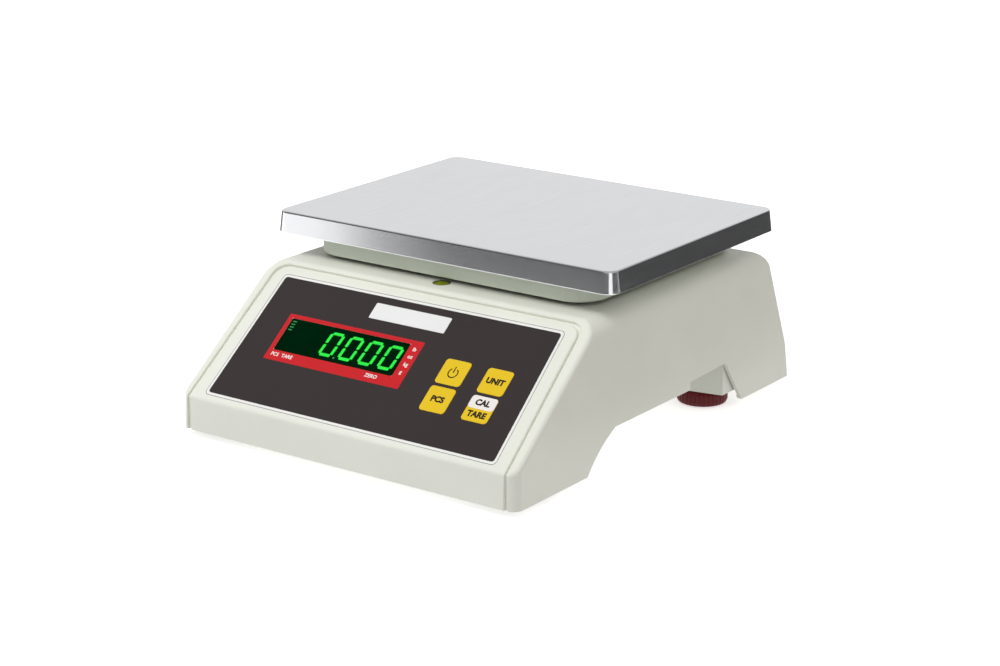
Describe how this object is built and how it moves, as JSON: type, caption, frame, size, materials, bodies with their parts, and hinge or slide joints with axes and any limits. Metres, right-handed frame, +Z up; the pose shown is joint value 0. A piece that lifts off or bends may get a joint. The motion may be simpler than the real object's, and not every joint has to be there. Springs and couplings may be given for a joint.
{
  "type": "counting scale",
  "caption": "Bench counting scale: sloping keypad and LED panel on a plastic body, flat stainless pan on a load cell, four screw feet.",
  "frame": {"origin": "on the bench, under the middle of the scale's outer box", "axes": "+X to the user's right, +Y to the back, +Z up"},
  "size_m": [0.279, 0.339, 0.134],
  "materials": {
    "housing_plastic": "fine satin texture",
    "support_plastic": "fine satin texture",
    "pan_steel": "fine brushed stainless",
    "panel_print": "satin printed film",
    "badge_white": "satin",
    "window_tint": "polished",
    "led_black": "matt",
    "key_yellow": "satin printed film",
    "foot_red": "translucent, ribbed edge",
    "rubber_black": "matt",
    "zinc_steel": "zinc plated",
    "aluminium_cell": "machined",
    "aluminium_cast": "die cast",
    "circuit_green": "solder mask",
    "connector_white": "moulded",
    "black_plastic": "moulded",
    "level_ring": "moulded",
    "level_fluid": "clear tinted",
    "battery_case": "moulded",
    "cable_grey": "sleeved",
    "cable_red": "sleeved"
  },
  "bodies": {
    "base": {"upper_housing": "housing_plastic", "bottom_cover": "housing_plastic", "housing_screws": "zinc_steel", "foot_nuts": "zinc_steel", "panel_sheet": "panel_print", "badge_plate": "badge_white", "display_window": "window_tint", "led_display": "led_black", "main_board": "circuit_green", "board_screws": "zinc_steel", "key_switches": "black_plastic", "board_connectors": "connector_white", "spirit_level_cup": "level_ring", "spirit_level_vial": "level_fluid", "dc_inlet": "black_plastic", "dc_inlet_nut": "zinc_steel", "battery": "battery_case", "battery_bracket": "zinc_steel", "battery_bracket_screws": "zinc_steel", "battery_cover": "housing_plastic", "battery_cover_screws": "zinc_steel", "cell_plate": "zinc_steel", "cell_plate_screws": "zinc_steel", "lower_spacer": "aluminium_cell", "lower_cell_screws": "zinc_steel", "overload_stops": "zinc_steel", "load_cell": "aluminium_cell", "load_cell_cable": "cable_grey", "power_leads": "cable_red"},
    "platform": {"upper_spacer": "aluminium_cell", "spider": "aluminium_cast", "upper_cell_screws": "zinc_steel", "platter_support": "support_plastic", "support_screws": "zinc_steel", "platter_buffers": "rubber_black"},
    "pan": {"platter": "pan_steel"},
    "power_key": {"power_key": "key_yellow"},
    "unit_key": {"unit_key": "key_yellow"},
    "pieces_key": {"pieces_key": "key_yellow"},
    "tare_key": {"tare_key": "key_yellow"},
    "front_left_foot_lift": {"foot_sole_front_left": "rubber_black"},
    "front_left_foot": {"foot_wheel_front_left": "foot_red", "foot_stud_front_left": "zinc_steel"},
    "front_right_foot_lift": {"foot_sole_front_right": "rubber_black"},
    "front_right_foot": {"foot_wheel_front_right": "foot_red", "foot_stud_front_right": "zinc_steel"},
    "rear_left_foot_lift": {"foot_sole_rear_left": "rubber_black"},
    "rear_left_foot": {"foot_wheel_rear_left": "foot_red", "foot_stud_rear_left": "zinc_steel"},
    "rear_right_foot_lift": {"foot_sole_rear_right": "rubber_black"},
    "rear_right_foot": {"foot_wheel_rear_right": "foot_red", "foot_stud_rear_right": "zinc_steel"}
  },
  "joints": [
    {"name": "platform_sink", "type": "slide", "parent": "base", "child": "platform", "axis": [0, 0, -1], "range_m": [0, 0.0005], "stiffness_N_per_m": 300000, "springref_m": -0.0001, "deforming": ["load_cell"]},
    {"name": "pan_lift_off", "type": "slide", "parent": "platform", "child": "pan", "axis": [0, 0, 1], "range_m": [0, 0.04]},
    {"name": "power_key_press", "type": "slide", "parent": "base", "child": "power_key", "axis": [0, 0.6211, -0.7837], "range_m": [0, 0.0005], "stiffness_N_per_m": 2500, "springref_m": -0.0002},
    {"name": "unit_key_press", "type": "slide", "parent": "base", "child": "unit_key", "axis": [0, 0.6211, -0.7837], "range_m": [0, 0.0005], "stiffness_N_per_m": 2500, "springref_m": -0.0002},
    {"name": "pieces_key_press", "type": "slide", "parent": "base", "child": "pieces_key", "axis": [0, 0.6211, -0.7837], "range_m": [0, 0.0005], "stiffness_N_per_m": 2500, "springref_m": -0.0002},
    {"name": "tare_key_press", "type": "slide", "parent": "base", "child": "tare_key", "axis": [0, 0.6211, -0.7837], "range_m": [0, 0.0005], "stiffness_N_per_m": 2500, "springref_m": -0.0002},
    {"name": "front_left_foot_height", "type": "slide", "parent": "base", "child": "front_left_foot_lift", "axis": [0, 0, 1], "range_m": [-0.005, 0]},
    {"name": "front_left_foot_turn", "type": "hinge", "parent": "front_left_foot_lift", "child": "front_left_foot", "pos_m": [-0.1095, -0.129, 0], "axis": [0, 0, 1], "range_deg": [-1440, 0]},
    {"name": "front_right_foot_height", "type": "slide", "parent": "base", "child": "front_right_foot_lift", "axis": [0, 0, 1], "range_m": [-0.005, 0]},
    {"name": "front_right_foot_turn", "type": "hinge", "parent": "front_right_foot_lift", "child": "front_right_foot", "pos_m": [0.1095, -0.129, 0], "axis": [0, 0, 1], "range_deg": [-1440, 0]},
    {"name": "rear_left_foot_height", "type": "slide", "parent": "base", "child": "rear_left_foot_lift", "axis": [0, 0, 1], "range_m": [-0.005, 0]},
    {"name": "rear_left_foot_turn", "type": "hinge", "parent": "rear_left_foot_lift", "child": "rear_left_foot", "pos_m": [-0.1095, 0.0965, 0], "axis": [0, 0, 1], "range_deg": [-1440, 0]},
    {"name": "rear_right_foot_height", "type": "slide", "parent": "base", "child": "rear_right_foot_lift", "axis": [0, 0, 1], "range_m": [-0.005, 0]},
    {"name": "rear_right_foot_turn", "type": "hinge", "parent": "rear_right_foot_lift", "child": "rear_right_foot", "pos_m": [0.1095, 0.0965, 0], "axis": [0, 0, 1], "range_deg": [-1440, 0]}
  ],
  "couplings": [
    {"joint": "front_left_foot_height", "follows": "front_left_foot_turn", "m_per_rad": 0.00019894},
    {"joint": "front_right_foot_height", "follows": "front_right_foot_turn", "m_per_rad": 0.00019894},
    {"joint": "rear_left_foot_height", "follows": "rear_left_foot_turn", "m_per_rad": 0.00019894},
    {"joint": "rear_right_foot_height", "follows": "rear_right_foot_turn", "m_per_rad": 0.00019894}
  ]
}
